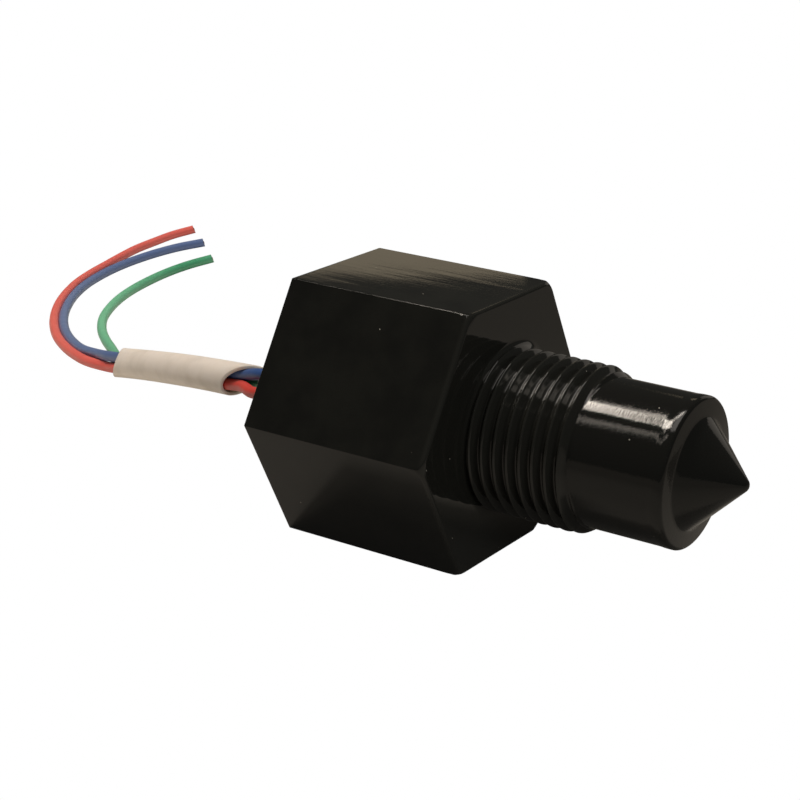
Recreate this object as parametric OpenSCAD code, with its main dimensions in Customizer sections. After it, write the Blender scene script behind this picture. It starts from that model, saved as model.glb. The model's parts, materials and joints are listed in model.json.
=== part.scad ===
// Optical level switch: a moulded hexagon body with a threaded shank, a plain nose that ends
// in a light-turning cone, and three thin leads held together by a short sleeve.
// Origin: centre of the hexagon's front face. +X runs along the axis to the tip, +Z is up,
// and the body lies on one flat of its hexagon.

/* [Hexagon] */
// Distance across the flats of the hexagon
hex_across_flats = 29; // [27:0.5:34]
// Length of the hexagon along the axis
hex_length = 22.6; // [20.4:0.2:25]
// How far the turned bevel comes in from each front corner
corner_bevel = 0.6; // [0.2:0.1:1.6]
// Angle of the turned bevel to the front face
bevel_angle = 45; // [30:1:50]
// Diameter of the round pocket inside the hexagon
pocket_diameter = 22; // [20:0.25:24]
// Wall left between the pocket floor and the front face
pocket_floor = 3; // [2:0.25:5]

/* [Thread] */
// Major diameter of the thread
thread_diameter = 18; // [17.6:0.1:22]
// Thread pitch
thread_pitch = 1.5; // [1:0.25:1.5]
// Distance from the front face to the middle of the first crest
first_crest = 0.45; // [0.3:0.05:1.2]
// Distance from the front face to where the end bevel meets the nose
thread_end = 13.5; // [11:0.25:15]
// Slope of the thread's end bevel to the axis
thread_end_angle = 32; // [25:1:45]

/* [Nose] */
// Diameter of the plain nose
nose_diameter = 16.1; // [15:0.1:16.2]
// Distance from the front face to the end of the nose
nose_length = 22.45; // [21.5:0.05:26]
// How far the bead at the end stands above the nose
bead_height = 0.12; // [0.05:0.01:0.3]
// Length of the bead's rise
bead_rise_length = 0.9; // [0.5:0.1:2]
// Radius of the rounded end edge
edge_radius = 0.95; // [0.4:0.05:1.3]
// Height of the shallow ring between the edge and the cone
ring_height = 0.2; // [0.05:0.05:0.5]
// Diameter of the cone at its base
cone_diameter = 11.9; // [10:0.1:12.5]
// Radius of the cone's rounded tip
tip_radius = 0.9; // [0.3:0.1:1.5]
// Diameter of the bore behind the nose
bore_diameter = 11.6; // [11.2:0.1:12]
// Wall left between the bore end and the nose's end face
window_wall = 1.85; // [1.2:0.05:3]

/* [Potting] */
// How far the potting face lies inside the hexagon's rear face
potting_recess = 0.6; // [0.2:0.1:1.5]
// Thickness of the potting plug
potting_thickness = 6.5; // [5.5:0.25:7.5]

/* [Board] */
// Board thickness
board_thickness = 1; // [0.6:0.1:1.6]
// Width of the board in the hexagon
board_width = 18; // [17.4:0.2:19]
// Width of the board's tongue in the shank
tongue_width = 10.2; // [9.6:0.1:10.6]
// Corner radius of the board
board_corner = 0.8; // [0.3:0.1:1.5]
// Length of board that sits in the potting
board_embed = 2; // [1:0.25:3]

/* [Optics] */
// Distance from the axis to each optical part
optic_offset = 2.9; // [2.4:0.1:3.2]
// Diameter of the optical parts' clear bodies
optic_diameter = 2.9; // [2.7:0.1:3]
// Diameter of their flanges
optic_flange = 3.8; // [3.4:0.1:4]
// Thickness of their flanges
flange_thickness = 1; // [0.6:0.1:1.4]
// Length of the optical parts from flange base to dome tip
optic_length = 5.2; // [4.6:0.1:5.6]
// Spacing of each part's two pins
pin_spacing = 2.54; // [2.2:0.02:2.6]
// Length of the pins
pin_length = 5; // [4:0.5:6]
// Diameter of the pins and of the bare conductors
pin_diameter = 0.5; // [0.4:0.02:0.5]
// Length of the holder that carries the optical parts
holder_length = 6.2; // [6:0.1:7]
// Length of the shelf under the board
shelf_length = 4; // [2:0.5:6]

/* [Leads] */
// Outer diameter of each lead
lead_diameter = 1.4; // [1.2:0.05:1.4]
// Spacing of the leads where they leave the potting
lead_spacing = 2.4; // [1.8:0.1:2.8]
// Length of bare conductor at the board
bare_length = 3.6; // [3.2:0.1:4.5]
// Outer diameter of the sleeve
sleeve_diameter = 4; // [3.9:0.1:4.4]
// Bore of the sleeve
sleeve_bore = 3.2; // [3.2:0.05:3.5]
// Length of the sleeve along its axis
sleeve_length = 35.4; // [33:0.2:37]
// Tilt of the sleeve's cut near the body, from its upper to its lower side
cut_tilt = 48; // [0:1:55]
// Tilt of the same cut, from its near to its far side
cut_turn = 35; // [0:1:45]
// Tilt of the sleeve's far cut, from its upper to its lower side
far_cut_tilt = 25; // [0:1:30]
// Tilt of the far cut, from its near to its far side
far_cut_turn = 51; // [0:1:52]

/* [Clearances] */
// Radial gap round a part that slides into a bore
slip_gap = 0.05; // [0.02:0.01:0.15]
// Gap of the potting round what it holds
potting_gap = 0.02; // [0.01:0.01:0.05]
// Gap between a pin and the board under it
pin_gap = 0.02; // [0.01:0.01:0.05]

/* [Hidden] */
$fn = 96;

hex_radius = hex_across_flats / sqrt(3);
face_radius = hex_radius - corner_bevel;
pocket_radius = pocket_diameter / 2;
bore_radius = bore_diameter / 2;
overcut = 1;

// A 60 degree thread: crest flat an eighth of the pitch, depth 0.6134 of the pitch
crest_radius = thread_diameter / 2;
thread_depth = 0.6134 * thread_pitch;
root_radius = crest_radius - thread_depth;
crest_flat = thread_pitch / 8;
flank_run = thread_depth * tan(30);
nose_radius = nose_diameter / 2;
end_slope = tan(thread_end_angle);
bevel_start = thread_end - (crest_radius - nose_radius) / end_slope;
whole_crests = floor((bevel_start - crest_flat / 2 - first_crest) / thread_pitch) + 1;
last_foot = first_crest + whole_crests * thread_pitch - crest_flat / 2 - flank_run;
flank_slope = 1 / tan(30);
last_top = (nose_radius + thread_end * end_slope - root_radius + flank_slope * last_foot)
    / (flank_slope + end_slope);
last_radius = root_radius + flank_slope * (last_top - last_foot);

bead_radius = nose_radius + bead_height;
bead_top = nose_length - edge_radius;
cone_radius = cone_diameter / 2;
cone_base = nose_length + ring_height;
tip_centre = cone_base + cone_radius - tip_radius * sqrt(2);
bore_end = nose_length - window_wall;

potting_rear = -hex_length + potting_recess;
potting_front = potting_rear + potting_thickness;
board_rear = potting_front - board_embed;
board_step = -pocket_floor - overcut;
holder_front = bore_end - slip_gap;
holder_rear = holder_front - holder_length;
board_front = holder_rear - slip_gap;
pin_radius = pin_diameter / 2;
board_top = -pin_radius - pin_gap;
board_bottom = board_top - board_thickness;
pin_end = holder_rear - pin_length;
strip_end = board_rear - slip_gap;
conductor_end = strip_end + bare_length;

// Each solder joint: its place from the end of its wire or pin, its radii and its cover over it
solder_inset = 0.7;
solder_foot = 0.85;
solder_top = 0.4;
solder_cover = 0.2;

// The circuit on the board
comparator_size = [4.9, 3.9, 1.45];
regulator_size = [4.5, 2.5, 1.5];
transistor_size = [2.9, 1.3, 1];
diode_size = [4.3, 2.6, 2.1];
diode_tab_size = [0.5, 1.4, 1.2];
chip_size = [2, 1.25, 0.5];
capacitor_height = 0.9;
body_lift = 0.1;

// Bent pins: width, reach and rise
comparator_pin = [0.41, 1.05, 0.7];
transistor_pin = [0.4, 0.6, 0.45];

// The wide part of the board that the potting leaves free is shared out along each side of it
free_length = board_step - potting_front;
near_gap = (free_length - transistor_size[0] - diode_size[0] - 2 * diode_tab_size[0]) / 3;
far_gap = (free_length - regulator_size[0] - chip_size[0]) / 3;
far_chip = board_step - far_gap - chip_size[0] / 2;
near_row = -board_width / 2 + 3.4;
far_row = board_width / 2 - 3;
comparator_at = [(conductor_end + board_step) / 2, 0];
regulator_at = [potting_front + far_gap + regulator_size[0] / 2, far_row];
transistor_at = [potting_front + near_gap + transistor_size[0] / 2, near_row];
diode_at = [board_step - near_gap - diode_tab_size[0] - diode_size[0] / 2, near_row];

// The chips on the tongue stand in rows between the step and the pins
tongue_rows = [board_step + 2.2, board_step + 5.6, pin_end - 4.45];
resistors_at = [
    [tongue_rows[0], 2.4], [tongue_rows[0], -2.4], [tongue_rows[1], 2.4], [tongue_rows[1], -2.4],
    [tongue_rows[2], 0]
];
capacitors_at = [
    [far_chip, far_row + 0.2], [far_chip, far_row - 2], [tongue_rows[0], 0], [tongue_rows[1], 0]
];

// The leads: red, blue and green from one side to the other
lead_sides = 8;
lead_radius = lead_diameter / 2;
bundle_radius = 0.84;
bundle_angles = [-35, 85, 205];
bundle_twist = -20;
sleeve_mouth = [-37.4, 2.3, -3];
sleeve_heading = 156;
sleeve_fall = 12.5;
sleeve_near = [-sin(sleeve_heading), cos(sleeve_heading), 0];
sleeve_up = [
    sin(sleeve_fall) * cos(sleeve_heading),
    sin(sleeve_fall) * sin(sleeve_heading),
    cos(sleeve_fall)
];
sleeve_along = cross(sleeve_near, sleeve_up);
straight_overrun = 3;
straight_length = sleeve_length + straight_overrun;
bundle_rings = 3;

// Where each lead runs between the potting and the sleeve
to_sleeve = [
    [[-26, -2.4, 0], [-29.6, -2.2, -1], [-33.2, -1.1, -2.4]],
    [[-26, 0, 0], [-29.7, 0.1, -0.3], [-33.6, 0.6, -1]],
    [[-26, 2.4, 0], [-29.6, 2.3, -0.8], [-33.2, 2.2, -2]]
];

// Where each lead runs from the sleeve down to the surface and along it
from_sleeve = [
    [
        [-77.1, 18.8, -13], [-82.6, 21.8, -13.6], [-87.2, 24.8, -13.8], [-91.1, 27.8, -13.8],
        [-95.2, 31.7, -13.8], [-98.9, 36, -13.8], [-102.2, 40.6, -13.8], [-105, 45.4, -13.8],
        [-107.5, 50.5, -13.8], [-109.4, 55.7, -13.8], [-111, 61.1, -13.8], [-112.6, 66.6, -13.8],
        [-114, 72.1, -13.8], [-114.8, 77.7, -13.8], [-115.4, 83.3, -13.8], [-115.2, 88.8, -13.8]
    ],
    [
        [-76.5, 20.1, -11.7], [-80.9, 22.3, -12.5], [-85.5, 25.3, -13.1], [-90, 28.9, -13.5],
        [-94, 32.7, -13.7], [-97.5, 36.7, -13.8], [-100.6, 41.2, -13.8], [-103.3, 45.9, -13.8],
        [-105.5, 50.9, -13.8], [-107.2, 56, -13.8], [-108.6, 61.3, -13.8], [-109.5, 66.6, -13.8],
        [-109.7, 72.1, -13.8], [-109.3, 77.5, -13.8], [-108.1, 82.7, -13.8]
    ],
    [
        [-75, 22.4, -12.5], [-79.1, 26.2, -13.2], [-83.4, 29.8, -13.6], [-87.6, 33.7, -13.8],
        [-91.2, 38, -13.8], [-94.1, 42.8, -13.8], [-96.5, 47.9, -13.8], [-98.3, 53.2, -13.8],
        [-99.6, 58.6, -13.8], [-100.5, 64.2, -13.8], [-100.8, 69.9, -13.8], [-100.4, 75.4, -13.8]
    ]
];

// Points of an arc about [radius, place], from one angle to another
function arc(middle, size, from, to, steps) = [
    for (i = [0 : steps])
        let (a = from + (to - from) * i / steps)
        [middle[0] + size * cos(a), middle[1] + size * sin(a)]
];

// One thread ridge, as [radius, place] points, with its crest at the given place
function ridge(at) = [
    [root_radius, at - crest_flat / 2 - flank_run],
    [crest_radius, at - crest_flat / 2],
    [crest_radius, at + crest_flat / 2],
    [root_radius, at + crest_flat / 2 + flank_run]
];

// The last ridge, cut down by the end bevel
function last_ridge() =
    last_radius > crest_radius
        ? [[root_radius, last_foot], [crest_radius, last_foot + flank_run],
           [crest_radius, bevel_start]]
        : last_radius > root_radius
            ? [[root_radius, last_foot], [last_radius, last_top]]
            : [];

// Where a lead lies inside the sleeve, at a distance along it: the bundle twists slightly
function in_sleeve(which, along) =
    let (a = bundle_angles[which] + bundle_twist * along / straight_length)
    sleeve_mouth + sleeve_along * along
    + bundle_radius * (cos(a) * sleeve_near + sin(a) * sleeve_up);

function lead_side(which) = (which - 1) * lead_spacing;

function lead_route(which) = concat(
    [[strip_end, lead_side(which), 0]],
    to_sleeve[which],
    [
        for (i = [0 : bundle_rings])
            in_sleeve(which, -overcut + (straight_length + overcut) * i / bundle_rings)
    ],
    from_sleeve[which]
);

function unit(v) = v / norm(v);

// Direction of a route at one of its points: the mean of the two stretches that meet there
function heading(route, i) =
    let (last = len(route) - 1)
    i == 0 ? unit(route[1] - route[0])
    : i == last ? unit(route[last] - route[last - 1])
    : unit(unit(route[i + 1] - route[i]) + unit(route[i] - route[i - 1]));

// The corners of one ring of a lead, square to its route
function ring(route, i) =
    let (
        forward = heading(route, i),
        side = unit(cross(forward, [0, 0, 1])),
        above = cross(side, forward)
    )
    [
        for (k = [0 : lead_sides - 1])
            let (a = (k + 0.5) * 360 / lead_sides)
            route[i] + lead_radius * (cos(a) * side + sin(a) * above)
    ];

// A shape turned about the axis from [radius, place] points
module turned(points) {
    rotate([0, 90, 0])
        rotate_extrude()
            polygon(points);
}

// A round bar along the axis direction, from one place to another
module bar(from, to, radius, y = 0, z = 0) {
    translate([from, y, z])
        rotate([0, 90, 0])
            cylinder(r = radius, h = to - from);
}

module block(from, size) {
    translate(from)
        cube(size);
}

// A block that stands on the board, centred on its place
module on_board(at, size, lift = 0) {
    block([at[0] - size[0] / 2, at[1] - size[1] / 2, board_top + lift], size);
}

module hexagon() {
    intersection() {
        translate([-hex_length, 0, 0])
            rotate([0, 90, 0])
                rotate([0, 0, 30])
                    cylinder(r = hex_radius, h = hex_length, $fn = 6);
        turned([
            [0, -hex_length - overcut],
            [hex_radius + overcut, -hex_length - overcut],
            [hex_radius + overcut, -(corner_bevel + overcut) * tan(bevel_angle)],
            [face_radius, 0],
            [0, 0]
        ]);
    }
}

// Thread, nose, bead, ring and cone in one turned profile
module shank_and_nose() {
    turned(concat(
        [[0, -pocket_floor / 2], [root_radius, -pocket_floor / 2]],
        [for (i = [0 : whole_crests - 1]) each ridge(first_crest + i * thread_pitch)],
        last_ridge(),
        [[nose_radius, thread_end], [nose_radius, bead_top - bead_rise_length]],
        arc([bead_radius - edge_radius, bead_top], edge_radius, 0, 90, 8),
        [[cone_radius, cone_base]],
        arc([0, tip_centre], tip_radius, 45, 90, 5)
    ));
}

// The pocket in the hexagon and the bore through the shank
module hollow() {
    turned([
        [0, -hex_length - overcut],
        [pocket_radius, -hex_length - overcut],
        [pocket_radius, -pocket_floor],
        [bore_radius, -pocket_floor],
        [bore_radius, bore_end],
        [0, bore_end]
    ]);
}

// One black moulding that lets infrared light through
module housing() {
    color([0.05, 0.05, 0.05])
        difference() {
            union() {
                hexagon();
                shank_and_nose();
            }
            hollow();
        }
}

// Resin plug at the rear, cast round the leads and the end of the board
module potting_compound() {
    color([0.09, 0.09, 0.1])
        difference() {
            bar(potting_rear, potting_front, pocket_radius - potting_gap);
            block(
                [board_rear - potting_gap, -board_width / 2 - potting_gap, board_bottom - potting_gap],
                [board_embed + overcut, board_width + 2 * potting_gap, board_thickness + 2 * potting_gap]
            );
            for (which = [0 : 2]) {
                translate([potting_rear - overcut, lead_side(which), 0])
                    rotate([0, 90, 0])
                        rotate([0, 0, 180 / lead_sides])
                            cylinder(
                                r = lead_radius + potting_gap,
                                h = strip_end - potting_rear + overcut + potting_gap,
                                $fn = lead_sides
                            );
                bar(strip_end, potting_front + overcut, pin_radius + potting_gap, lead_side(which));
            }
        }
}

// Half of the board's outline, as points from the rear to the front
function board_half() = [
    [board_rear, board_width / 2 - board_corner],
    [board_rear + board_corner, board_width / 2],
    [board_step - board_corner, board_width / 2],
    [board_step, board_width / 2 - board_corner],
    [board_step, tongue_width / 2],
    [board_front - board_corner, tongue_width / 2],
    [board_front, tongue_width / 2 - board_corner]
];

module circuit_board() {
    half = board_half();
    other_half = [for (i = [len(half) - 1 : -1 : 0]) [half[i][0], -half[i][1]]];
    color([0.1, 0.36, 0.2])
        translate([0, 0, board_bottom])
            linear_extrude(board_thickness)
                polygon(concat(half, other_half));
}

// Black plug at the end of the bore, with a shelf that the board's tongue rests on
module optic_holder() {
    fit_radius = bore_radius - slip_gap;
    color([0.13, 0.13, 0.14])
        difference() {
            union() {
                bar(holder_rear, holder_front, fit_radius);
                intersection() {
                    bar(holder_rear - shelf_length, holder_rear + overcut, fit_radius);
                    block(
                        [holder_rear - shelf_length, -bore_radius, -bore_diameter],
                        [shelf_length + overcut, bore_diameter, bore_diameter + board_bottom]
                    );
                }
            }
            for (side = [-1, 1]) {
                bar(
                    holder_rear - overcut, holder_front + overcut,
                    optic_diameter / 2 + slip_gap, side * optic_offset
                );
                bar(
                    holder_rear - overcut, holder_rear + flange_thickness + slip_gap,
                    optic_flange / 2 + slip_gap, side * optic_offset
                );
            }
        }
}

// A flanged, dome-ended 3 mm optical part
module optic(side) {
    body_radius = optic_diameter / 2;
    dome = holder_rear + optic_length - body_radius;
    bar(holder_rear, holder_rear + flange_thickness, optic_flange / 2, side * optic_offset);
    bar(holder_rear, dome, body_radius, side * optic_offset);
    translate([dome, side * optic_offset, 0])
        sphere(r = body_radius);
}

module optic_pins(side) {
    for (pin = [-0.5, 0.5])
        bar(pin_end, holder_rear, pin_radius, side * optic_offset + pin * pin_spacing);
}

module infrared_emitter() {
    color([0.45, 0.5, 0.62])
        optic(-1);
}

module emitter_pins() {
    color([0.8, 0.8, 0.78])
        optic_pins(-1);
}

module phototransistor() {
    color([0.12, 0.1, 0.13])
        optic(1);
}

module detector_pins() {
    color([0.8, 0.8, 0.78])
        optic_pins(1);
}

// A bent pin: foot on the board, riser, and a short top that meets the body's side
module gull_pin(at, pin, side) {
    metal = 0.2;
    width = pin[0];
    reach = pin[1];
    rise = pin[2];
    translate([at[0], at[1], board_top])
        rotate([90, 0, side > 0 ? 90 : -90])
            translate([0, 0, -width / 2])
                linear_extrude(width)
                    polygon([
                        [0, rise],
                        [0, rise + metal],
                        [reach / 2, rise + metal],
                        [reach / 2 + metal, metal],
                        [reach, metal],
                        [reach, 0],
                        [reach / 2, 0],
                        [reach / 2 - metal, rise]
                    ]);
}

module comparator_ic() {
    color([0.08, 0.08, 0.08])
        on_board(comparator_at, comparator_size, body_lift);
}

module comparator_pins() {
    spacing = 1.27;
    color([0.78, 0.78, 0.76])
        for (side = [-1, 1], i = [0 : 3])
            gull_pin(
                [comparator_at[0] + (i - 1.5) * spacing,
                 comparator_at[1] + side * comparator_size[1] / 2],
                comparator_pin, side
            );
}

module regulator() {
    color([0.09, 0.09, 0.09])
        on_board(regulator_at, regulator_size);
}

module regulator_pins() {
    spacing = 1.5;
    size = [0.42, 0.9, 0.4];
    color([0.78, 0.78, 0.76])
        for (i = [-1 : 1])
            on_board(
                [regulator_at[0] + i * spacing, regulator_at[1] - (regulator_size[1] + size[1]) / 2],
                size
            );
}

module output_transistor() {
    color([0.09, 0.09, 0.09])
        on_board(transistor_at, transistor_size, body_lift);
}

module output_transistor_pins() {
    spacing = 1.9;
    half = transistor_size[1] / 2;
    color([0.78, 0.78, 0.76]) {
        for (i = [-0.5, 0.5])
            gull_pin([transistor_at[0] + i * spacing, transistor_at[1] - half], transistor_pin, -1);
        gull_pin([transistor_at[0], transistor_at[1] + half], transistor_pin, 1);
    }
}

module protection_diode() {
    color([0.1, 0.1, 0.1])
        on_board(diode_at, diode_size, body_lift);
}

module diode_tabs() {
    reach = (diode_size[0] + diode_tab_size[0]) / 2;
    color([0.78, 0.78, 0.76])
        for (side = [-1, 1])
            on_board([diode_at[0] + side * reach, diode_at[1]], diode_tab_size);
}

module chip_resistors() {
    color([0.16, 0.16, 0.17])
        for (at = resistors_at)
            on_board(at, chip_size);
}

module chip_capacitors() {
    color([0.62, 0.5, 0.36])
        for (at = capacitors_at)
            on_board(at, [chip_size[0], chip_size[1], capacitor_height]);
}

// A small cone of solder over a wire or pin that lies on the board
module solder(x, y) {
    difference() {
        translate([x, y, board_top])
            cylinder(r1 = solder_foot, r2 = solder_top, h = pin_diameter + solder_cover);
        bar(x - overcut, x + overcut, pin_radius + pin_gap / 2, y);
    }
}

module solder_joints() {
    color([0.72, 0.73, 0.74]) {
        for (which = [0 : 2])
            solder(conductor_end - solder_inset, lead_side(which));
        for (side = [-1, 1], pin = [-0.5, 0.5])
            solder(pin_end + solder_inset, side * optic_offset + pin * pin_spacing);
    }
}

module conductor(which) {
    color([0.82, 0.55, 0.35])
        bar(strip_end, conductor_end, pin_radius, lead_side(which));
}

// A lead's insulation, swept along its route
module lead(which, tint) {
    route = lead_route(which);
    last = len(route) - 1;
    corners = [for (i = [0 : last]) each ring(route, i)];
    sides = [
        for (i = [0 : last - 1], k = [0 : lead_sides - 1])
            let (next = (k + 1) % lead_sides)
            [
                i * lead_sides + k,
                i * lead_sides + next,
                (i + 1) * lead_sides + next,
                (i + 1) * lead_sides + k
            ]
    ];
    first_end = [for (k = [lead_sides - 1 : -1 : 0]) k];
    far_end = [for (k = [0 : lead_sides - 1]) last * lead_sides + k];
    color(tint)
        polyhedron(points = corners, faces = concat(sides, [first_end, far_end]));
}

// The sleeve lies straight and is cut askew at both ends
module lead_sleeve() {
    reach = sleeve_diameter;
    color([0.88, 0.83, 0.76])
        translate(sleeve_mouth)
            rotate([90 + sleeve_fall, 0, sleeve_heading + 90])
                difference() {
                    translate([0, 0, -reach])
                        cylinder(d = sleeve_diameter, h = sleeve_length + 2 * reach);
                    translate([0, 0, -reach - overcut])
                        cylinder(d = sleeve_bore, h = sleeve_length + 2 * (reach + overcut));
                    rotate([-cut_tilt, -cut_turn, 0])
                        translate([-2 * reach, -2 * reach, -4 * reach])
                            cube(4 * reach);
                    translate([0, 0, sleeve_length])
                        rotate([-far_cut_tilt, far_cut_turn, 0])
                            translate([-2 * reach, -2 * reach, 0])
                                cube(4 * reach);
                }
}

housing();
potting_compound();
circuit_board();
optic_holder();
infrared_emitter();
emitter_pins();
phototransistor();
detector_pins();
comparator_ic();
comparator_pins();
regulator();
regulator_pins();
output_transistor();
output_transistor_pins();
protection_diode();
diode_tabs();
chip_resistors();
chip_capacitors();
solder_joints();
conductor(0);  // conductor_red
conductor(1);  // conductor_blue
conductor(2);  // conductor_green
lead(0, [0.86, 0.27, 0.22]);  // lead_red
lead(1, [0.25, 0.36, 0.6]);  // lead_blue
lead(2, [0.26, 0.62, 0.4]);  // lead_green
lead_sleeve();
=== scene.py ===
import json
import math

import bpy
import numpy as np
from mathutils import Matrix

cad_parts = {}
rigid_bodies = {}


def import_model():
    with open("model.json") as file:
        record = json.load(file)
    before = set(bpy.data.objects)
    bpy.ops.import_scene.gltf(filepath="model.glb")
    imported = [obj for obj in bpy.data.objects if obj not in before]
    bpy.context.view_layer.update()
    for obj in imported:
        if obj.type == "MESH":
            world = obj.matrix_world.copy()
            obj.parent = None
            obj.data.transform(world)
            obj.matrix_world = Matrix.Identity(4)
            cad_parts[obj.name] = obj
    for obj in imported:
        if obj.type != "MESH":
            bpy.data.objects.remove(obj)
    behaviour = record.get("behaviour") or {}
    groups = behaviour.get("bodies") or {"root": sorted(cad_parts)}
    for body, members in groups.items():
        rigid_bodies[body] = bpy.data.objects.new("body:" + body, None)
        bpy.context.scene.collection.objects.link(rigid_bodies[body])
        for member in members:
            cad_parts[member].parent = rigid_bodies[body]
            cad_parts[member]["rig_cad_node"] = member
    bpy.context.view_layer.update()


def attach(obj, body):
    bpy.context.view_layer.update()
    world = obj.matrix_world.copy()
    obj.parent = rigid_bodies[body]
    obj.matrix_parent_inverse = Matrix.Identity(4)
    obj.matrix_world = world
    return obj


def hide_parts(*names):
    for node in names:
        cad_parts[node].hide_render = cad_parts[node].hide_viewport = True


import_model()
scene = bpy.context.scene

# CAMERA
# The switch was photographed from about 21 cm away with a long lens, from its near front side
# and a little above, with the picture turned slightly. The offset is right, up and back of the
# origin, in metres.
AZIMUTH, ELEVATION, ROLL = 32.959, 18.915, 1.704
CAMERA_OFFSET = np.array([-0.011398, 0.002992, 0.213889])
FOCAL_PIXELS = 1992.587
PICTURE_PIXELS = 800
SENSOR_WIDTH = 36


def look(azimuth, elevation, roll):
    """Axes of a camera, as columns right, up and back: back = (sin a cos e, -cos a cos e, sin e),
    and right is level before the roll turns right and up about back."""
    a, e, t = np.radians([azimuth, elevation, roll])
    back = np.array([math.sin(a) * math.cos(e), -math.cos(a) * math.cos(e), math.sin(e)])
    level = np.array([math.cos(a), math.sin(a), 0.0])
    above = np.cross(back, level)
    right = math.cos(t) * level + math.sin(t) * above
    up = -math.sin(t) * level + math.cos(t) * above
    return np.column_stack([right, up, back])


def placed(axes, place):
    """The world matrix of a thing whose own axes are those columns and whose origin is place."""
    pose = np.eye(4)
    pose[:3, :3] = axes
    pose[:3, 3] = place
    return Matrix(pose.tolist())


axes = look(AZIMUTH, ELEVATION, ROLL)
camera_place = axes @ CAMERA_OFFSET
camera_data = bpy.data.cameras.new("camera")
camera_data.sensor_width = SENSOR_WIDTH
camera_data.lens = FOCAL_PIXELS / PICTURE_PIXELS * SENSOR_WIDTH
camera_data.clip_start = 0.01
camera_data.clip_end = 10
camera = bpy.data.objects.new("camera", camera_data)
camera.matrix_world = placed(axes, camera_place)
scene.collection.objects.link(camera)
scene.camera = camera

# LEADS
# Three stranded hook-up wires in soft PVC, 1.4 mm across, leave the resin at the rear, pass through
# the sleeve as one bundle, drop to the table and fan out in a curve to their cut ends.
# Sizes in metres, angles in degrees.
LEAD_RADIUS = 0.0007
STRIPPED_END = -0.01755
BUNDLE_RADIUS = 0.00084
BUNDLE_START = -0.001
BUNDLE_LENGTH = 0.0384
BUNDLE_TWIST = 20
SLEEVE_MOUTH = np.array([-0.0374, 0.0023, -0.003])
SLEEVE_FALL, SLEEVE_HEADING = 12.5, 156
PATH_STEP = 0.0004
CUT_LENGTH = 0.003
CUT_LIFT = 0.11
STRAND_SPACING = 0.000165

# Rings at the cut end: each one's share of the lead's radius and its reach past the path's end
CUT_RINGS = ((0.97, 0.00003), (0.9, 0.00005), (0.42, 0.00005), (0.4, -0.0002))

# The dome of one strand: how far its rings stand out of the cut, and their radii
DOME_HEIGHTS = np.array([-0.0004, 0.00002, 0.00006, 0.00008])
DOME_RADII = np.array([0.00008, 0.00008, 0.00006, 0.00003])
DOME_TOP = 0.000085


def tint(code):
    """A display colour such as "d8443c" as linear red, green, blue and alpha."""
    part = np.array([int(code[i : i + 2], 16) / 255 for i in (0, 2, 4)])
    part = np.where(part <= 0.04045, part / 12.92, ((part + 0.055) / 1.055) ** 2.4)
    return (*part.tolist(), 1.0)


def new_material(name):
    """A material of that name, its node tree and its surface shader."""
    made = bpy.data.materials.new(name)
    made.use_nodes = True
    return made, made.node_tree, made.node_tree.nodes["Principled BSDF"]


def join(tree, node, inputs):
    """Gives a node its inputs, by name or in their order: each is a constant or another node's
    output."""
    pairs = inputs.items() if isinstance(inputs, dict) else enumerate(inputs)
    for name, value in pairs:
        if isinstance(value, bpy.types.NodeSocket):
            tree.links.new(value, node.inputs[name])
        else:
            node.inputs[name].default_value = value


def add(tree, kind, inputs=(), **settings):
    """Adds a node of that kind with those inputs, and with settings as its properties, and gives
    its outputs."""
    node = tree.nodes.new("ShaderNode" + kind)
    for name, value in settings.items():
        setattr(node, name, value)
    join(tree, node, inputs)
    return node.outputs


# A Map Range's inputs are a value, the range it has and the range it gets, eased at both ends, and
# a Mix's are its factor and its two colours. A noise's scale is 1 / the size of its patches.
EASED = {"interpolation_type": "SMOOTHSTEP"}
COLOURS = {"data_type": "RGBA"}


def ring_faces(rows, cols):
    """The faces of a grid of rings, from point j of ring i to the next one round and along."""
    i, j = np.meshgrid(np.arange(rows - 1), np.arange(cols), indexing="ij")
    k = (j + 1) % cols
    quads = np.stack([i * cols + j, i * cols + k, (i + 1) * cols + k, (i + 1) * cols + j], -1)
    return quads.reshape(-1, 4).tolist()


def new_piece(name, points, faces, material):
    """A smooth-shaded mesh of those points and faces, which rides on the root body."""
    mesh = bpy.data.meshes.new(name)
    mesh.from_pydata(points.tolist(), [], faces)
    mesh.polygons.foreach_set("use_smooth", np.ones(len(mesh.polygons), bool))
    mesh.materials.append(material)
    mesh.update()
    piece = bpy.data.objects.new(name, mesh)
    scene.collection.objects.link(piece)
    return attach(piece, "root")


def skin(name, rings, first, last, material):
    """A closed piece over the grid rings[i, j], which runs round in j, with a fan to the point
    first at its start and to the point last at its end. The rings turn about the direction in
    which they advance."""
    rows, cols = rings.shape[:2]
    points = np.vstack([rings.reshape(-1, 3), [first, last]])
    j = np.arange(cols)
    k = (j + 1) % cols
    base = (rows - 1) * cols
    start = np.stack([np.full(cols, rows * cols), k, j], -1)
    end = np.stack([np.full(cols, rows * cols + 1), base + j, base + k], -1)
    faces = ring_faces(rows, cols) + start.tolist() + end.tolist()
    return new_piece(name, points, faces, material)


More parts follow.
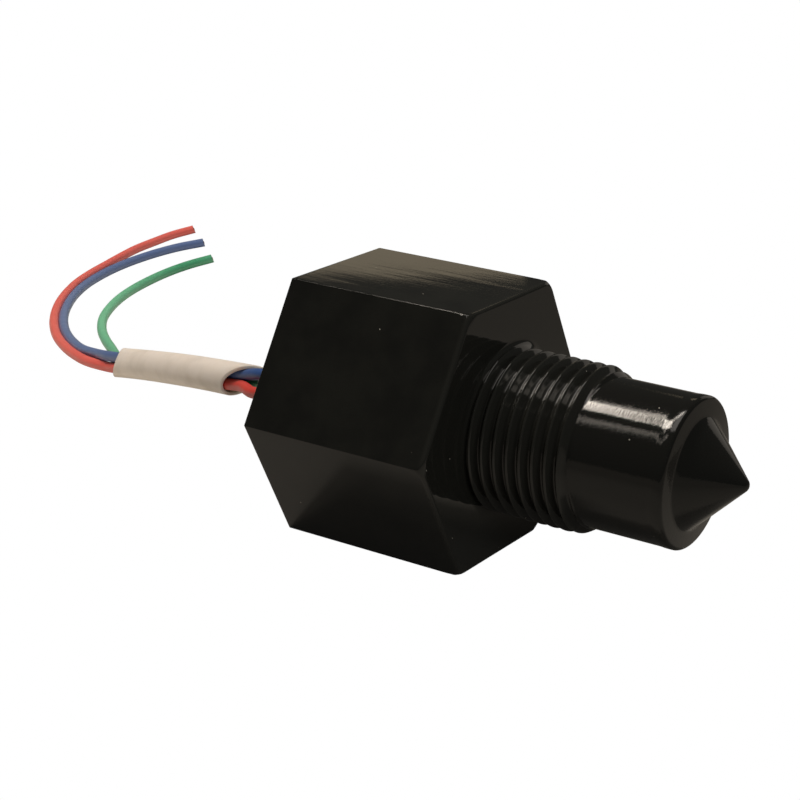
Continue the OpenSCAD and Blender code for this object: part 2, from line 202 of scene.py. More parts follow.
def smooth_path(knots, spacing):
    """Points about spacing apart on the curve through the knots K[i]: between two of them the cubic
    with their places and the slopes (K[i + 1] - K[i - 1]) / (t[i + 1] - t[i - 1]), t being the
    summed chord length."""
    t = np.concatenate([[0], np.cumsum(np.linalg.norm(np.diff(knots, axis=0), axis=1))])
    slope = np.empty_like(knots)
    slope[1:-1] = (knots[2:] - knots[:-2]) / (t[2:] - t[:-2])[:, None]
    slope[0] = (knots[1] - knots[0]) / t[1]
    slope[-1] = (knots[-1] - knots[-2]) / (t[-1] - t[-2])
    at = np.linspace(0, t[-1], int(t[-1] / spacing) + 1)
    i = np.clip(np.searchsorted(t, at, side="right") - 1, 0, len(knots) - 2)
    h = (t[i + 1] - t[i])[:, None]
    u = (at - t[i])[:, None] / h
    return (
        knots[i] * (2 * u**3 - 3 * u**2 + 1)
        + slope[i] * h * (u**3 - 2 * u**2 + u)
        + knots[i + 1] * (3 * u**2 - 2 * u**3)
        + slope[i + 1] * h * (u**3 - u**2)
    )


def tube(path, radius, angles):
    """Rings P(s, a) = C(s) + r (cos a side(s) + sin a below(s)) about the path C, where side is
    level and square to the path."""
    ahead = np.gradient(path, axis=0)
    ahead /= np.linalg.norm(ahead, axis=1)[:, None]
    side = np.cross(ahead, [0, 0, 1])
    side /= np.linalg.norm(side, axis=1)[:, None]
    below = np.cross(ahead, side)
    turn = np.cos(angles)[:, None] * side[:, None] + np.sin(angles)[:, None] * below[:, None]
    return path[:, None] + radius * turn


def insulation(name, body, worn, fresh):
    """Soft PVC, drawn over strands: a satin colour, strong near the body, chalkier from 50 to 90 mm
    behind it and stronger again by the share fresh at the cut end, dusty in patches of 6 mm, with
    a faint unevenness of 1.6 mm where the strands' twist shows through."""
    made, tree, shader = new_material(name)
    place = add(tree, "TexCoord")["Object"]
    where = add(tree, "SeparateXYZ", [place])
    near_body = add(tree, "MapRange", [where["X"], -0.09, -0.05], **EASED)[0]
    near_end = add(tree, "MapRange", [where["Y"], 0.038, 0.07, 0, fresh], **EASED)[0]
    dust = add(tree, "TexNoise", {"Vector": place, "Scale": 1 / 0.006, "Detail": 3})["Fac"]
    dust = add(tree, "MapRange", [dust, 0.35, 0.7, 0, 0.2], **EASED)[0]
    colour = tint(worn)
    for share, code in ((near_body, body), (near_end, body), (dust, worn)):
        colour = add(tree, "Mix", {0: share, 6: colour, 7: tint(code)}, **COLOURS)[2]
    satin = add(tree, "TexNoise", {"Vector": place, "Scale": 1 / 0.0015, "Detail": 2})["Fac"]
    satin = add(tree, "MapRange", [satin, 0.3, 0.7, 0.38, 0.5], **EASED)[0]
    twist = add(tree, "TexNoise", {"Vector": place, "Scale": 1 / 0.0016, "Detail": 0})["Fac"]
    bump = add(tree, "Bump", {"Height": twist, "Strength": 1, "Distance": 0.000008})[0]
    join(tree, shader, {"Base Color": colour, "Roughness": satin, "IOR": 1.5, "Normal": bump})
    soft = {"Weight": 0.08, "Radius": (0.6, 0.6, 0.6), "Scale": 0.0006}
    join(tree, shader, {f"Subsurface {part}": value for part, value in soft.items()})
    return made


def strand_copper():
    """Tinned copper seen at a cut end: bright metal with a copper blush, and painted shade for the
    dark between strands, in patches of 0.2 mm, which is a strand's width."""
    made, tree, shader = new_material("tinned_copper_strands")
    place = add(tree, "TexCoord")["Object"]
    # Painted shade: the copper is darker in strand-sized patches, for the shade between the
    # strands.
    shade = add(tree, "TexNoise", {"Vector": place, "Scale": 1 / 0.0002, "Detail": 1})["Fac"]
    shade = add(tree, "MapRange", [shade, 0.35, 0.65], **EASED)[0]
    colour = add(tree, "Mix", {0: shade, 6: tint("8a5a3c"), 7: tint("d8b49a")}, **COLOURS)[2]
    strands = add(tree, "TexNoise", {"Vector": place, "Scale": 1 / 0.00015, "Detail": 1})["Fac"]
    bump = add(tree, "Bump", {"Height": strands, "Strength": 1, "Distance": 0.00004})[0]
    join(tree, shader, {"Base Color": colour, "Metallic": 1, "Roughness": 0.35, "Normal": bump})
    return made


copper = strand_copper()
fall, heading = np.radians([SLEEVE_FALL, SLEEVE_HEADING])
sleeve_near = np.array([-math.sin(heading), math.cos(heading), 0])
sleeve_up = np.array(
    [math.sin(fall) * math.cos(heading), math.sin(fall) * math.sin(heading), math.cos(fall)]
)
sleeve_along = np.cross(sleeve_near, sleeve_up)

# Each lead: its colour, its chalky colour, the share of the first that comes back at the cut end,
# its place across the resin, its angle round the bundle, and the points of its route before and
# after the sleeve, in millimetres
lead_plan = {
    "red": (
        "d2443a", "e26e64", 0.2, -0.0024, -35,
        [(-26, -2.4, -0.2), (-29.6, -2.35, -1.58), (-33.2, -1.25, -2.66)],
        [
            (-77.1, 18.8, -12.68), (-82.6, 21.8, -13.3), (-87.2, 24.82, -13.63),
            (-91.08, 27.82, -13.74), (-95.16, 31.74, -13.8), (-98.85, 36.03, -13.8),
            (-102.16, 40.62, -13.8), (-105, 45.4, -13.8), (-107.5, 50.5, -13.8),
            (-109.4, 55.7, -13.8), (-111, 61.1, -13.8), (-112.6, 66.6, -13.8),
            (-114, 72.1, -13.8), (-114.8, 77.7, -13.8), (-115.4, 83.3, -13.8),
            (-115.2, 88.8, -13.8),
        ],
    ),
    "blue": (
        "35558f", "6c7ca1", 0.4, 0.0, 85,
        [(-26, 0, 0), (-29.7, 0.1, -0.3), (-33.6, 0.6, -1)],
        [
            (-76.53, 20.0, -11.8), (-80.95, 22.17, -12.6), (-85.57, 25.22, -13.15),
            (-90.1, 28.8, -13.52), (-94.1, 32.62, -13.7), (-97.6, 36.63, -13.8),
            (-100.78, 41.08, -13.8), (-103.55, 45.78, -13.8), (-105.85, 50.76, -13.8),
            (-107.55, 55.9, -13.8), (-108.8, 61.25, -13.8), (-109.5, 66.6, -13.8),
            (-109.7, 72.1, -13.8), (-109.3, 77.5, -13.8), (-108.1, 82.7, -13.8),
        ],
    ),
    "green": (
        "3f956b", "79c199", 0.95, 0.0024, 205,
        [(-26, 2.4, 0), (-29.6, 2.3, -0.8), (-33.2, 2.2, -2)],
        [
            (-75, 22.4, -12.5), (-79.1, 26.2, -13.2), (-83.4, 29.8, -13.6),
            (-87.6, 33.7, -13.8), (-91.2, 38, -13.8), (-94.1, 42.8, -13.8),
            (-96.5, 47.9, -13.8), (-98.3, 53.2, -13.8), (-99.6, 58.6, -13.8),
            (-100.5, 64.2, -13.8), (-100.8, 69.9, -13.8), (-100.4, 75.4, -13.8),
        ],
    ),
}
round_lead = np.radians(np.arange(24) * 15)
round_strand = np.radians(np.arange(12) * 30)
sixths = np.radians(np.arange(6) * 60)
strand_places = np.column_stack([np.cos(sixths), np.sin(sixths)]) * STRAND_SPACING
strand_places = np.vstack([[0, 0], strand_places])

for colour, (body, worn, fresh, side, angle, before, after) in lead_plan.items():
    t = np.linspace(BUNDLE_START, BUNDLE_LENGTH, 12)[:, None]
    turn = np.radians(angle - BUNDLE_TWIST * t / BUNDLE_LENGTH)
    aside = np.cos(turn) * sleeve_near + np.sin(turn) * sleeve_up
    inside = SLEEVE_MOUTH + t * sleeve_along + BUNDLE_RADIUS * aside
    knots = np.vstack(
        [[(STRIPPED_END, side, 0)], np.array(before) / 1000, inside, np.array(after) / 1000]
    )
    path = smooth_path(knots, PATH_STEP)

    # The sheath is a tube, cut off aslant: over its last 3 mm the rings lean until they lie in the
    # plane of the cut, and then they turn in to the strands
    sheath = tube(path, LEAD_RADIUS, round_lead)
    ahead = (path[-1] - path[-2]) / np.linalg.norm(path[-1] - path[-2])
    turned_in = [
        path[-1] + (sheath[-1] - path[-1]) * share + ahead * reach for share, reach in CUT_RINGS
    ]
    sheath = np.concatenate([sheath, np.array(turned_in)])
    seen = camera_place - path[-1]
    seen /= np.linalg.norm(seen)
    cut = ahead - (ahead @ seen) * seen + CUT_LIFT * np.array([0, 0, 1])
    cut /= np.linalg.norm(cut)
    to_end = (len(path) - 1 - np.arange(len(sheath))) * PATH_STEP
    lean = np.clip(1 - to_end / CUT_LENGTH, 0, 1)
    middles = np.concatenate([path, np.tile(path[-1], (len(turned_in), 1))])
    slant = -((sheath - middles[:, None]) @ cut) / (ahead @ cut)
    sheath += (lean[:, None] * slant)[..., None] * ahead
    pvc = insulation(f"{colour}_pvc", body, worn, fresh)
    lead = skin(f"insulation_{colour}", sheath, path[0], path[-1] + CUT_RINGS[-1][1] * ahead, pvc)
    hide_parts(f"lead_{colour}")

    # Seven strands show at the cut end, as low domes side by side
    right = np.cross(ahead, [0, 0, 1])
    below = np.cross(ahead, right)
    ring = np.cos(round_strand)[:, None] * right + np.sin(round_strand)[:, None] * below
    for n, (u, v) in enumerate(strand_places):
        middle = path[-1] + u * right + v * below
        middle = middle - ((middle - path[-1]) @ cut) / (ahead @ cut) * ahead
        rings = middle + DOME_HEIGHTS[:, None, None] * ahead + DOME_RADII[:, None, None] * ring
        foot, top = middle + DOME_HEIGHTS[0] * ahead, middle + DOME_TOP * ahead
        strand = skin(f"strand_{colour}_{n}", rings, foot, top, copper)

# SLEEVE
# A 35 mm piece of cream shrink sleeving over the three leads. It was cut askew at both ends, has
# a wall of 0.4 mm, and follows the bundle: a hair three-sided and slightly bowed. Sizes in metres.
SLEEVE_RADIUS = 0.002
SLEEVE_WALL = 0.0004
SLEEVE_BOW = 0.00025
SLEEVE_LIP = 0.00006

# Shrunk polyolefin is matt and lets a little light through, which softens its shade. Handling left
# faint smudges of 4 mm on it, and its wall is uneven over 3 mm.
cream, tree, shader = new_material("cream_sleeving")
place = add(tree, "TexCoord")["Object"]
smudge = add(tree, "TexNoise", {"Vector": place, "Scale": 1 / 0.004, "Detail": 3})["Fac"]
smudge = add(tree, "MapRange", [smudge, 0.4, 0.75], **EASED)[0]
colour = add(tree, "Mix", {0: smudge, 6: tint("ecdfd3"), 7: tint("dccfc2")}, **COLOURS)[2]
matt = add(tree, "TexNoise", {"Vector": place, "Scale": 1 / 0.002, "Detail": 2})["Fac"]
matt = add(tree, "MapRange", [matt, 0.3, 0.7, 0.5, 0.62], **EASED)[0]
uneven = add(tree, "TexNoise", {"Vector": place, "Scale": 1 / 0.003, "Detail": 2})["Fac"]
bump = add(tree, "Bump", {"Height": uneven, "Strength": 1, "Distance": 0.00008})[0]
join(tree, shader, {"Base Color": colour, "Roughness": matt, "Normal": bump})
soft = {"Weight": 0.3, "Radius": (1.0, 0.85, 0.7), "Scale": 0.0015}
join(tree, shader, {f"Subsurface {part}": value for part, value in soft.items()})


def sleeve_wall(along, angle, radius):
    """P(t, a) = M + s along + R cos a near + (R sin a + B) up: s goes with t from the near cut,
    0.19 + 1.69 cos a - 2.69 sin a + 0.5 sin 2a mm, which leaves an upper flap, to the far cut,
    35.38 - 2.47 cos a - 1.51 sin a mm. R swells by 1.5 % over each lead and by 0.6 % in slow
    waves, and B = bow * 4 t (1 - t)."""
    near_cut = 0.19 + 1.69 * np.cos(angle) - 2.69 * np.sin(angle) + 0.5 * np.sin(2 * angle)
    far_cut = 35.38 - 2.47 * np.cos(angle) - 1.51 * np.sin(angle)
    t = along[:, None]
    place = (near_cut * (1 - t) + far_cut * t) / 1000
    bow = SLEEVE_BOW * 4 * t * (1 - t)
    size = radius * (1 + 0.015 * np.cos(3 * (angle - math.radians(80))))
    size = size[None] * (1 + 0.006 * np.sin(9 * t + 2 * angle[None]))
    return (
        SLEEVE_MOUTH
        + place[..., None] * sleeve_along
        + (size * np.cos(angle))[..., None] * sleeve_near
        + (size * np.sin(angle) + bow)[..., None] * sleeve_up
    )


# The rings run along the outside, over a rounded rim and back along the inside
angle = np.radians(np.arange(72) * -5.0)
along = np.linspace(0, 1, 90)
outer = sleeve_wall(along, angle, SLEEVE_RADIUS)
inner = sleeve_wall(along, angle, SLEEVE_RADIUS - SLEEVE_WALL)
rim_in = 0.75 * inner[[0, -1]] + 0.25 * outer[[0, -1]]
rim_out = 0.25 * inner[[0, -1]] + 0.75 * outer[[0, -1]]
lip = SLEEVE_LIP * sleeve_along
near_rim = [inner[:1], rim_in[:1] - lip, rim_out[:1] - lip]
far_rim = [rim_out[1:] + lip, rim_in[1:] + lip]
rings = np.concatenate([*near_rim, outer, *far_rim, inner[::-1]])
sleeve = new_piece("sleeve", rings.reshape(-1, 3), ring_faces(*rings.shape[:2]), cream)
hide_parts("lead_sleeve")

# HOUSING
# One glossy black moulding: the hexagon with its softened front corners and open rear pocket, the
# M18 x 1.5 thread, the plain nose with its bead, and the cone that turns the light back.
# Sizes in millimetres, made metres at the end, and angles in degrees.
HEX_FLAT = 14.5
HEX_LENGTH = 22.6
HEX_RADIUS = 16.743
CORNER_ROUND = 0.1
CORNER_END = 0.172
FRONT_ROUND = 0.4
TURNED_ROUND = 1.0
REAR_ROUND = 0.16
POCKET_RADIUS = 11.0
POCKET_FLOOR = -3.0
POCKET_ROUND = 0.15
BORE_RADIUS = 5.8
BORE_END = 20.6
CREST_RADIUS = 9.0
ROOT_RADIUS = 8.08
PITCH = 1.5
FLANK_ANGLE = 30
FIRST_CREST, CREST_TURN = 0.44, 120
THREAD_END = 12.7
END_SLOPE = 0.625
FADE_TURN, FADE_LENGTH, FADE_SLOPE = 150, 1.15, 1.1
ROW_SPACING = 0.05
NOSE_RADIUS = 8.05
NOSE_LENGTH = 22.45
BEAD_RADIUS = 8.1
BEAD_START = 20.6
BEAD_RISE = 0.9
RIM_ROUND = 0.5
CONE_RADIUS = 5.95
CONE_BASE = 22.65
TIP_RADIUS = 0.9

# Polished black plastic mirrors the room, wavily over 5 mm on the large flats and a little softer
# on the shank. A grain and streaks along the axis break its mirror up on the nose; the real grain
# is too fine to show, so it is drawn 0.5 mm wide. Sparse pale specks of dust lie on the moulding.
black, tree, shader = new_material("polished_black_moulding")
place = add(tree, "TexCoord")["Object"]
along_axis = add(tree, "SeparateXYZ", [place])["X"]
front_painted_light = add(tree, "MapRange", [along_axis, -0.0008, -0.0002], **EASED)[0]
on_shank = add(tree, "MapRange", [along_axis, 0, 0.0003], **EASED)[0]
on_nose = add(tree, "MapRange", [along_axis, 0.0114, 0.0118], **EASED)[0]
cloud = add(tree, "TexNoise", {"Vector": place, "Scale": 1 / 0.004, "Detail": 3})["Fac"]
cloud = add(tree, "MapRange", [cloud, 0.3, 0.7], **EASED)[0]
speck = add(tree, "TexVoronoi", {"Vector": place, "Scale": 1 / 0.0024})["Distance"]
speck = add(tree, "MapRange", [speck, 0.02, 0.034, 1, 0], **EASED)[0]
colour = tint("141412")
# Painted light: from the front rounding on, the front face and the thread are coloured lighter than
# the rest of the moulding; the nose is coloured a plain near-black.
shades = ((cloud, "1a1a17"), (front_painted_light, "20201d"), (on_nose, "151513"), (speck, "a8a498"))
for share, code in shades:
    colour = add(tree, "Mix", {0: share, 6: colour, 7: tint(code)}, **COLOURS)[2]

# Waves, streaks and grain, each with its size, detail, roughness and how much it is pressed
# together along the axis
reliefs = []
for size, detail, rough, press in (
    (0.005, 2, 0.5, 0.35), (0.0012, 2, 0.5, 0.12), (0.0005, 3, 0.6, 2.5)
):
    pressed = add(tree, "Mapping", {"Vector": place, "Scale": (press, 1, 1)})[0]
    noise = {"Vector": pressed, "Scale": 1 / size, "Detail": detail, "Roughness": rough}
    reliefs.append(add(tree, "TexNoise", noise)["Fac"])
waves, streaks, grain = reliefs
smooth = add(tree, "MapRange", [waves, 0.35, 0.7, 0.018, 0.035], **EASED)[0]
softer = add(tree, "MapRange", [on_shank, 0, 1, 0, 0.05], **EASED)[0]
rough = add(tree, "Math", [smooth, softer], operation="ADD")[0]
coarser = add(tree, "MapRange", [on_nose, 0, 1, 0.15, 1.6], **EASED)[0]
grain = add(tree, "Math", [grain, coarser], operation="MULTIPLY")[0]
bump = {}
for height, depth in ((waves, 0.000007), (streaks, 0.0000022), (grain, 0.000006)):
    inputs = {"Height": height, "Strength": 1, "Distance": depth, **bump}
    bump = {"Normal": add(tree, "Bump", inputs)[0]}
join(tree, shader, {"Base Color": colour, "Roughness": rough, "IOR": 1.5, **bump})


def soft_min(a, b, k):
    """min(a, b) with its corner rounded over a difference k: min(a, b) - max(k - |a - b|, 0)^2
    / 4k."""
    return np.minimum(a, b) - np.maximum(k - np.abs(a - b), 0) ** 2 / (4 * k)


def thread_radius(x, theta):
    """Right-hand 60 degree thread: with d the distance along the axis to the nearest crest of the
    helix x = first + pitch (k + (theta - 120 deg) / 360 deg), r = crest + (pitch / 16 - d) / tan
    30 deg, limited to the crest above, the root below and the end bevel, with soft corners. The
    bevel starts earlier and is steeper round theta = 150 deg, where the last turn fades."""
    crest = FIRST_CREST + PITCH * (np.degrees(theta) - CREST_TURN) / 360
    d = np.abs((x - crest + PITCH / 2) % PITCH - PITCH / 2)
    r = CREST_RADIUS + (PITCH / 16 - d) / math.tan(math.radians(FLANK_ANGLE))
    r = -soft_min(-r, -ROOT_RADIUS, 0.2)
    r = soft_min(r, CREST_RADIUS, 0.1)
    fade = np.maximum(np.cos(theta - math.radians(FADE_TURN)), 0) ** 2
    bevel = (THREAD_END - FADE_LENGTH * fade - x) * (END_SLOPE + FADE_SLOPE * fade)
    return np.maximum(soft_min(r, NOSE_RADIUS + bevel, 0.1), NOSE_RADIUS)


# Angles from each corner of the hexagon at which the rings have points: close together on the
# corner's small round, and wider apart along the flats
apart = [1.2, 2.2, 3.4, 4.8, 6.4, 8.2, 10.2, 12.4, 14.8, 17.2, 19.8, 22.4, 25, 27.5]
apart = np.array([CORNER_END / 2, CORNER_END, *apart])
corner = np.concatenate([-apart[::-1], [0], apart, [30]])
theta = np.radians((np.arange(6)[:, None] * 60 + corner[None]).ravel())
one = np.ones_like(theta)

# The hexagon's radius at those angles: HEX_FLAT / cos on the flats, and on the corners a circle
# of radius CORNER_ROUND that touches both flats
off = np.radians((np.degrees(theta) + 30) % 60 - 30)
centre = (HEX_FLAT - CORNER_ROUND) / math.cos(math.radians(30))
flat = HEX_FLAT / np.cos(np.radians(30) - np.abs(off))
curved = np.sqrt(np.maximum(CORNER_ROUND**2 - (centre * np.sin(off)) ** 2, 0))
curved = centre * np.cos(off) + curved
hexagon = np.where(np.abs(np.degrees(off)) < CORNER_END + 0.001, curved, flat)


def arc(x, r, size, start, end, count):
    """Rows (x + size cos u, r + size sin u) for angles u from start to end degrees."""
    u = np.radians(np.linspace(start, end, count))[:, None]
    return list(zip(x + size * np.cos(u) * one, r + size * np.sin(u) * one))


def line(x0, r0, x1, r1, count=6):
    """Rows at even steps on the straight line from (x0, r0) to (x1, r1)."""
    shares = np.linspace(0, 1, count)
    return [((x0 + (x1 - x0) * s) * one, (r0 + (r1 - r0) * s) * one) for s in shares]


def front_radius(x):
    """The hexagon near its front face: its flats end in a round of FRONT_ROUND, and a turned round
    of radius t, r = HEX_RADIUS - t + sqrt(t^2 - (x + t)^2), takes the corners away."""
    flats = hexagon - FRONT_ROUND + np.sqrt(FRONT_ROUND**2 - max(x + FRONT_ROUND, 0) ** 2)
    past = max(x + TURNED_ROUND, 0)
    turned = HEX_RADIUS - TURNED_ROUND + math.sqrt(TURNED_ROUND**2 - past**2)
    return soft_min(flats, turned, 0.12)


# The moulding's rings as (place, radius) rows, from the end of the bore back to the pocket and
# round the rear edge, and along the outside to the tip of the cone. The hundredths and tenths added
# at a corner are the gap to the next row, which keeps that edge crisp.
rear = -HEX_LENGTH
pocket_edge = rear + POCKET_ROUND
tip_centre = CONE_BASE + CONE_RADIUS - TIP_RADIUS * math.sqrt(2)
tip_edge = TIP_RADIUS * math.sqrt(0.5)
rim = BEAD_RADIUS - RIM_ROUND
profile = line(BORE_END, 0.5, BORE_END, BORE_RADIUS)
profile += line(BORE_END - 0.05, BORE_RADIUS, POCKET_FLOOR + 0.05, BORE_RADIUS)
profile += line(POCKET_FLOOR, BORE_RADIUS + 0.05, POCKET_FLOOR, POCKET_RADIUS - 0.1)
profile += line(POCKET_FLOOR - 0.1, POCKET_RADIUS, pocket_edge, POCKET_RADIUS)
profile += arc(pocket_edge, POCKET_RADIUS + POCKET_ROUND, POCKET_ROUND, -90, -180, 4)[1:]
profile += line(rear, POCKET_RADIUS + 0.3, rear, hexagon - REAR_ROUND)
profile += arc(rear + REAR_ROUND, hexagon - REAR_ROUND, REAR_ROUND, 180, 90, 5)[1:]
profile += line(rear + REAR_ROUND + 0.1, hexagon, -1.6, hexagon)
profile += [(x * one, front_radius(x)) for x in -1.3 * np.linspace(1, 0, 16) ** 2.5]
profile += line(0, front_radius(0) - 0.1, 0, thread_radius(0, theta) + 0.04)
profile += [
    (x * one, thread_radius(x, theta)) for x in np.arange(0.03, THREAD_END + 0.1, ROW_SPACING)
]
profile += line(THREAD_END + 0.25, NOSE_RADIUS, BEAD_START - 0.1, NOSE_RADIUS, 10)
profile += [
    (
        (BEAD_START + BEAD_RISE * s) * one,
        (NOSE_RADIUS + (BEAD_RADIUS - NOSE_RADIUS) * s * s * (3 - 2 * s)) * one,
    )
    for s in np.linspace(0, 1, 8)
]
profile += arc(NOSE_LENGTH - RIM_ROUND, rim, RIM_ROUND, 90, 8, 12)[1:]
profile += line(NOSE_LENGTH + 0.01, rim - 0.05, CONE_BASE - 0.008, CONE_RADIUS + 0.05)
profile += line(
    CONE_BASE + 0.04, CONE_RADIUS - 0.04, tip_centre + tip_edge - 0.1, tip_edge + 0.1, 10
)
profile += arc(tip_centre, 0, TIP_RADIUS, 45, 5, 8)
x, r = np.array(profile).transpose(1, 0, 2)
rings = np.stack([x, r * np.cos(theta), r * np.sin(theta)], -1) / 1000
tip = (tip_centre + TIP_RADIUS) / 1000
housing = skin("moulded_housing", rings, (BORE_END / 1000, 0, 0), (tip, 0, 0), black)
weights = housing.modifiers.new("weights", "WEIGHTED_NORMAL")
weights.weight = 50
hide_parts("housing")

# POTTING
# Black epoxy cast into the rear pocket, level with a small meniscus at the wall and a collar where
# it climbed each lead. It is visible only from behind. Sizes in millimetres.
RESIN_RADIUS = 10.97
RESIN_REAR = -22.0
RESIN_FRONT = -15.5
LEAD_PLACES = (-2.4, 0, 2.4)

# Cast epoxy is a satin near-black, cloudy over 3 mm and slightly wavy over 2.5 mm where it set
resin, tree, shader = new_material("cast_epoxy")
place = add(tree, "TexCoord")["Object"]
cloud = add(tree, "TexNoise", {"Vector": place, "Scale": 1 / 0.003, "Detail": 3})["Fac"]
cloud = add(tree, "MapRange", [cloud, 0.35, 0.7], **EASED)[0]
colour = add(tree, "Mix", {0: cloud, 6: tint("1b1b1c"), 7: tint("262627")}, **COLOURS)[2]
satin = add(tree, "TexNoise", {"Vector": place, "Scale": 1 / 0.002, "Detail": 2})["Fac"]
satin = add(tree, "MapRange", [satin, 0.3, 0.7, 0.28, 0.42], **EASED)[0]
waves = add(tree, "TexNoise", {"Vector": place, "Scale": 1 / 0.0025, "Detail": 2})["Fac"]
bump = add(tree, "Bump", {"Height": waves, "Strength": 1, "Distance": 0.00015})[0]
join(tree, shader, {"Base Color": colour, "Roughness": satin, "Normal": bump})


def potting_face(radius, angle):
    """Height above the level face: wall meniscus 0.3 exp(-(11 - r) / 0.45) and round each lead at
    distance d from its middle a collar 0.35 exp(-(d - 0.7) / 0.35), 0.45 at most."""
    y, z = radius * np.cos(angle), radius * np.sin(angle)
    height = 0.3 * np.exp(-(POCKET_RADIUS - radius) / 0.45)
    for side in LEAD_PLACES:
        d = np.maximum(np.hypot(y - side, z) - 0.7, 0)
        height = height + 0.35 * np.exp(-d / 0.35)
    return np.minimum(height, 0.45)


turn = np.radians(np.arange(120) * 3.0)
r = np.linspace(RESIN_RADIUS, 0.15, 64)[:, None] * np.ones_like(turn)
x = RESIN_REAR - potting_face(r, turn)
face = np.stack([x, r * np.cos(turn), r * np.sin(turn)], -1)
plug = [(RESIN_FRONT, s * RESIN_RADIUS) for s in (0.1, 0.5, 1.0)]
plug += [(x, RESIN_RADIUS) for x in (-17, -19, -21, RESIN_REAR)]
side = [np.stack([np.full_like(turn, x), r * np.cos(turn), r * np.sin(turn)], -1) for x, r in plug]
rings = np.concatenate([np.array(side), face])[::-1] / 1000
hidden_in_lead = ((RESIN_REAR - 0.2) / 1000, 0, 0)
potting = skin("cast_potting", rings, hidden_in_lead, (RESIN_FRONT / 1000, 0, 0), resin)
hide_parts("potting_compound")

# ELECTRONICS
# Chips on a glass epoxy board, a moulded holder with two 3 mm optical parts, and the solder that
# joins them. They stay as the solids are, each with its own finish: they are inside the closed
# moulding and show only when it is opened or made see-through.


def plain_finish(name, dark, light, rough, size, metal=0):
    """A finish that drifts between two colours over patches of the given size, duller where it is
    lighter, with a faint relief of a third of that size."""
    made, tree, shader = new_material(name)
    place = add(tree, "TexCoord")["Object"]
    patches = add(tree, "TexNoise", {"Vector": place, "Scale": 1 / size, "Detail": 3})["Fac"]
    patches = add(tree, "MapRange", [patches, 0.3, 0.7], **EASED)[0]
    colour = add(tree, "Mix", {0: patches, 6: tint(dark), 7: tint(light)}, **COLOURS)[2]
    duller = add(tree, "MapRange", [patches, 0, 1, rough, rough + 0.12], **EASED)[0]
    uneven = add(tree, "TexNoise", {"Vector": place, "Scale": 3 / size, "Detail": 2})["Fac"]
    bump = add(tree, "Bump", {"Height": uneven, "Strength": 1, "Distance": 0.00001})[0]
    surface = {"Base Color": colour, "Roughness": duller, "Metallic": metal, "Normal": bump}
    join(tree, shader, surface)
    return made


# Dipped tin is bright and slightly clouded, and reflowed solder brighter. Moulded epoxy bodies are
# a dull near-black, the board glossy green under its mask, the holder matt, the two lenses tinted
# and smooth, the resistors glazed, and the capacitors dull tan ceramic.
tin = plain_finish("tin_plate", "a5a5a2", "d2d2cc", 0.25, 0.0006, 1.0)
epoxy = plain_finish("moulded_epoxy", "161616", "212121", 0.45, 0.0006)
finishes = {
    "circuit_board": plain_finish("green_solder_mask", "16492a", "1f6237", 0.28, 0.002),
    "optic_holder": plain_finish("matt_black_nylon", "1c1c1d", "29292a", 0.5, 0.001),
    "infrared_emitter": plain_finish("blue_tinted_epoxy", "6a7898", "8e9cba", 0.08, 0.002),
    "emitter_pins": tin,
    "phototransistor": plain_finish("daylight_blocking_epoxy", "1b151d", "2a222c", 0.1, 0.002),
    "detector_pins": tin,
    "comparator_ic": epoxy,
    "comparator_pins": tin,
    "regulator": epoxy,
    "regulator_pins": tin,
    "output_transistor": epoxy,
    "output_transistor_pins": tin,
    "protection_diode": epoxy,
    "diode_tabs": tin,
    "chip_resistors": plain_finish("glazed_resistor_body", "1d1d1f", "333336", 0.2, 0.0008),
    "chip_capacitors": plain_finish("tan_ceramic", "8d6f4c", "a98a64", 0.4, 0.0005),
    "solder_joints": plain_finish("reflowed_solder", "9b9da0", "c9cbce", 0.18, 0.0005, 1.0),
    "conductor_red": copper,
    "conductor_blue": copper,
    "conductor_green": copper,
}
for piece in bpy.data.objects:
    node = piece.get("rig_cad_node")
    if node in finishes:
        piece.data.materials.clear()
        piece.data.materials.append(finishes[node])

# STUDIO
# A large table that shows pure white to the camera, as in the cut-out photo, and lamps where the
# moulding mirrors them: two above to the left and a wide one overhead, pale walls behind, and dark
# on the camera's side.
TABLE_HALF = 3
TABLE_Z = -0.0145
PAINTED_LIGHT_SPOT = (-0.09, 0.035, TABLE_Z)


def white_to_camera(tree, lit, white_kind, output_kind):
    """Ends a node tree so that the camera sees pure white, and all other light meets lit."""
    rays = add(tree, "LightPath")
    white = add(tree, white_kind, {"Color": (1, 1, 1, 1), "Strength": 1})[0]
    mixed = add(tree, "MixShader", [rays["Is Camera Ray"], lit, white])[0]
    add(tree, output_kind, {"Surface": mixed})


# Grey table under the body, with painted shade that darkens it further out, and a painted pool of
# light under the leads
paper = bpy.data.materials.new("table_paper")
paper.use_nodes = True
tree = paper.node_tree
tree.nodes.clear()
place = add(tree, "TexCoord")["Object"]
# Painted shade: the table is darker from 35 to 90 mm away from the body.
away = add(tree, "VectorMath", [place], operation="LENGTH")["Value"]
away = add(tree, "MapRange", [away, 0.035, 0.09], **EASED)[0]
table_with_painted_light = add(tree, "Mix", {0: away, 6: tint("8a8781"), 7: tint("716e69")}, **COLOURS)[2]
# Painted light: a paler pool on the table under the leads, which lights them from below.
aside = add(tree, "VectorMath", [place, PAINTED_LIGHT_SPOT], operation="DISTANCE")["Value"]
aside = add(tree, "MapRange", [aside, 0.05, 0.08], **EASED)[0]
table_with_painted_light = add(tree, "Mix", {0: aside, 6: tint("d8d4cc"), 7: table_with_painted_light}, **COLOURS)[2]
lit = add(tree, "BsdfDiffuse", {"Color": table_with_painted_light})[0]
white_to_camera(tree, lit, "Emission", "OutputMaterial")

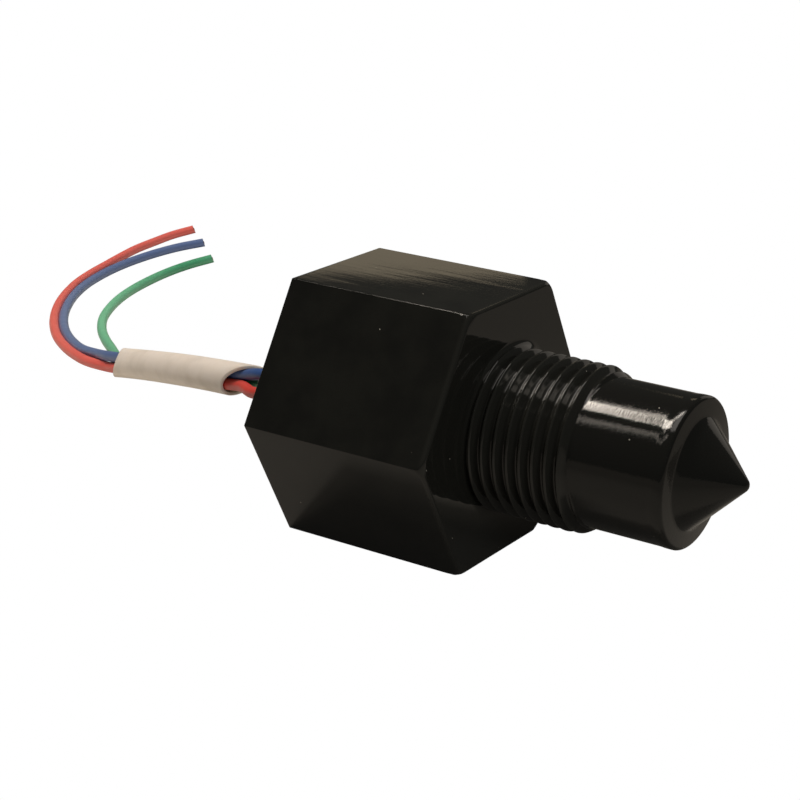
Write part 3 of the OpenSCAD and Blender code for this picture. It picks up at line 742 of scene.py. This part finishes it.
corners = np.array([(-1, -1), (1, -1), (1, 1), (-1, 1)]) * TABLE_HALF
floor_mesh = bpy.data.meshes.new("table")
floor_mesh.from_pydata([(x, y, TABLE_Z) for x, y in corners.tolist()], [], [(0, 1, 2, 3)])
floor_mesh.materials.append(paper)
floor = bpy.data.objects.new("table", floor_mesh)
scene.collection.objects.link(floor)

world = bpy.data.worlds.new("studio")
scene.world = world
world.use_nodes = True
tree = world.node_tree
tree.nodes.clear()
dim = add(tree, "Background", {"Color": tint("8f8e88"), "Strength": 0.16})[0]
white_to_camera(tree, dim, "Background", "OutputWorld")


def lamp(name, direction, distance, width, height, power, colour, upward=(0, 0, 1), mirrored=True):
    """A rectangular lamp that far away in the given direction from the object, facing it, its
    height leaning towards upward. One that is not mirrored only lights, and makes no highlight."""
    back = np.array(direction, float)
    back /= np.linalg.norm(back)
    right = np.cross(upward, back)
    right /= np.linalg.norm(right)
    axes = np.column_stack([right, np.cross(back, right), back])
    data = bpy.data.lights.new(name, "AREA")
    data.shape = "RECTANGLE"
    data.size, data.size_y = width, height
    data.energy = power
    data.color = tint(colour)[:3]
    made = bpy.data.objects.new(name, data)
    made.matrix_world = placed(axes, back * distance)
    made.visible_glossy = mirrored
    scene.collection.objects.link(made)


lamp("overhead_softbox", (0.0, 0.05, 1.0), 1.0, 0.7, 0.7, 2.8, "fff8f0")
lamp("key_spot", (-0.31, 0.02, 0.95), 1.2, 0.14, 0.14, 5, "fff8f0", mirrored=False)
lamp("key_strip", (-0.37, 0.06, 0.86), 1.2, 0.045, 1.05, 2.2, "fff4e6", upward=(0.54, 0.85, 0.21))
lamp("key_patch", (-0.46, -0.06, 0.88), 1.15, 0.28, 0.17, 2.0, "fff4e6")
lamp("second_tube", (-0.44, -0.45, 0.80), 1.2, 0.03, 0.3, 0.2, "fff4e6")
lamp("rear_wall", (-0.5427, 0.8278, 0.1426), 1.5, 0.2, 0.4, 0.113, "ffebc8")
lamp("rear_window", (-0.32, 0.80, 0.50), 1.5, 0.16, 0.12, 0.05, "ffebc8")
lamp("rear_right", (0.06, 0.96, 0.24), 1.5, 0.8, 0.66, 0.5, "fff4e6")
lamp("side_fill", (0.7, -0.55, 0.45), 1.5, 0.8, 0.8, 7.5, "ffffff", mirrored=False)

scene.view_settings.view_transform = "Standard"
